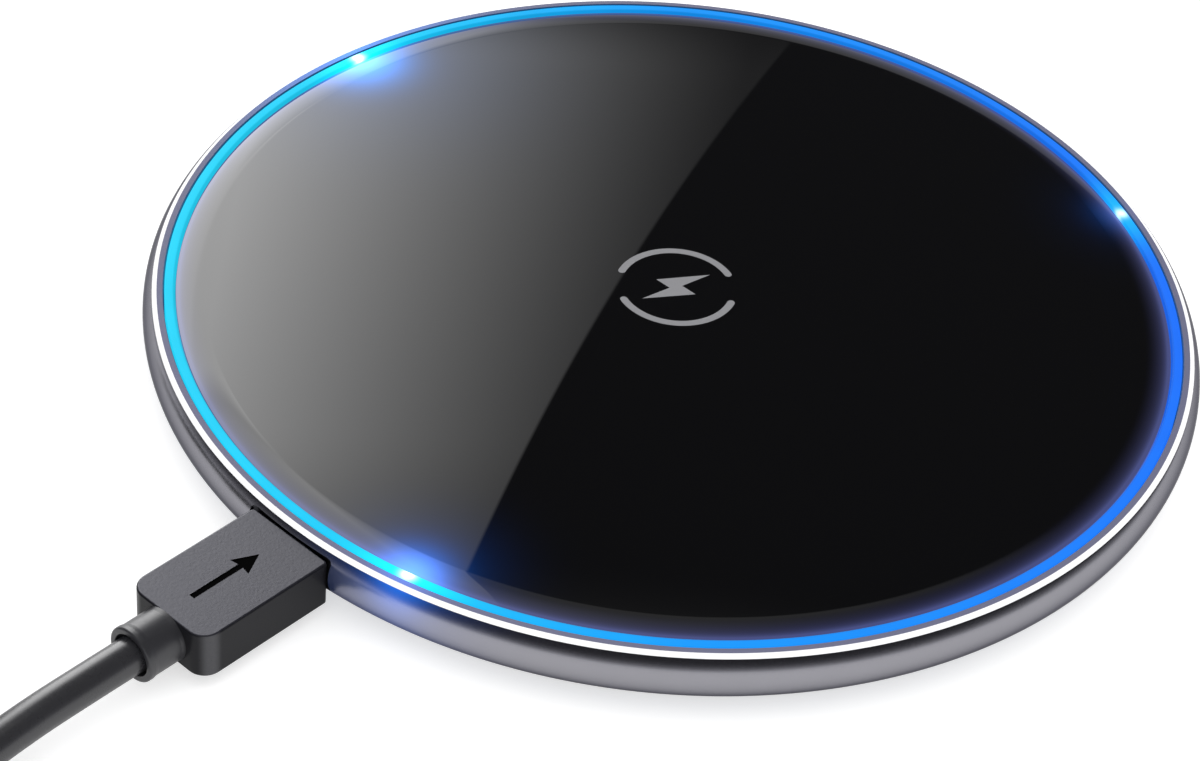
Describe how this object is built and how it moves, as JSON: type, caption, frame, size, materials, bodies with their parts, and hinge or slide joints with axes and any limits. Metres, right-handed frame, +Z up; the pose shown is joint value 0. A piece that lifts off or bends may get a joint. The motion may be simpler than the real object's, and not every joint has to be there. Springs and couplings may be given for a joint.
{
  "type": "wireless charging pad",
  "caption": "Slim round wireless charging pad with a black glass top, a lit rim ring and a metal body, its lead plugged into the rim.",
  "frame": {"origin": "middle of the base, on the surface that the pad stands on", "axes": "+Z up out of the charging face; +Y out through the port, along the lead; +X to the right with the port at the far side"},
  "size_m": [0.1194, 0.1756, 0.0082],
  "materials": {
    "black_glass": "polished black, opaque from behind",
    "adhesive": "thin foam tape",
    "light_guide": "milky light guide, lit cyan to blue",
    "grey_aluminium": "dark grey anodised, with a polished bright chamfer",
    "pale_plastic": "moulded",
    "dark_plastic": "fine moulded texture",
    "rubber": "matt silicone rubber",
    "copper": "enamelled stranded copper",
    "ferrite": "dark grey sintered ferrite",
    "foam": "soft open foam",
    "amber_tape": "amber polyimide",
    "board": "green solder mask",
    "chip": "moulded epoxy",
    "ceramic": "tan ceramic",
    "led_package": "white package",
    "steel": "plated sheet steel",
    "plug_body": "dark grey satin moulding",
    "cable_jacket": "satin dark grey jacket"
  },
  "bodies": {
    "pad": {"glass_top": "black_glass", "glass_adhesive": "adhesive", "light_guide_ring": "light_guide", "housing_frame": "grey_aluminium", "coil_carrier": "pale_plastic", "bottom_cover": "dark_plastic", "anti_slip_ring": "rubber", "cover_screw_1": "steel", "cover_screw_2": "steel", "cover_screw_3": "steel", "cover_screw_4": "steel", "charging_coil": "copper", "coil_lead_inner": "copper", "coil_lead_outer": "copper", "ferrite_sheet": "ferrite", "coil_foam_pad": "foam", "thermistor": "amber_tape", "thermistor_lead": "amber_tape", "circuit_board": "board", "controller_ic": "chip", "bridge_mosfet_1": "chip", "bridge_mosfet_2": "chip", "resonant_capacitor_1": "ceramic", "resonant_capacitor_2": "ceramic", "resonant_capacitor_3": "ceramic", "resonant_capacitor_4": "ceramic", "input_inductor": "ferrite", "input_capacitor": "ceramic", "sense_resistor": "chip", "ring_led_1": "led_package", "ring_led_2": "led_package", "ring_led_3": "led_package", "port_shell": "steel", "port_tongue": "dark_plastic"},
    "cable": {"pad_plug_overmould": "plug_body", "pad_plug_shell": "steel", "pad_plug_insert": "dark_plastic", "pad_plug_boot": "plug_body", "cable_lead": "cable_jacket", "cable_coil": "cable_jacket", "cable_tie": "rubber", "cable_tail": "cable_jacket", "host_plug_boot": "plug_body", "host_plug_overmould": "plug_body", "host_plug_shell": "steel", "host_plug_insert": "pale_plastic"}
  },
  "joints": [
    {"name": "plug_slide", "type": "slide", "parent": "pad", "child": "cable", "axis": [0, 1, 0], "range_m": [0, 0.008]}
  ]
}
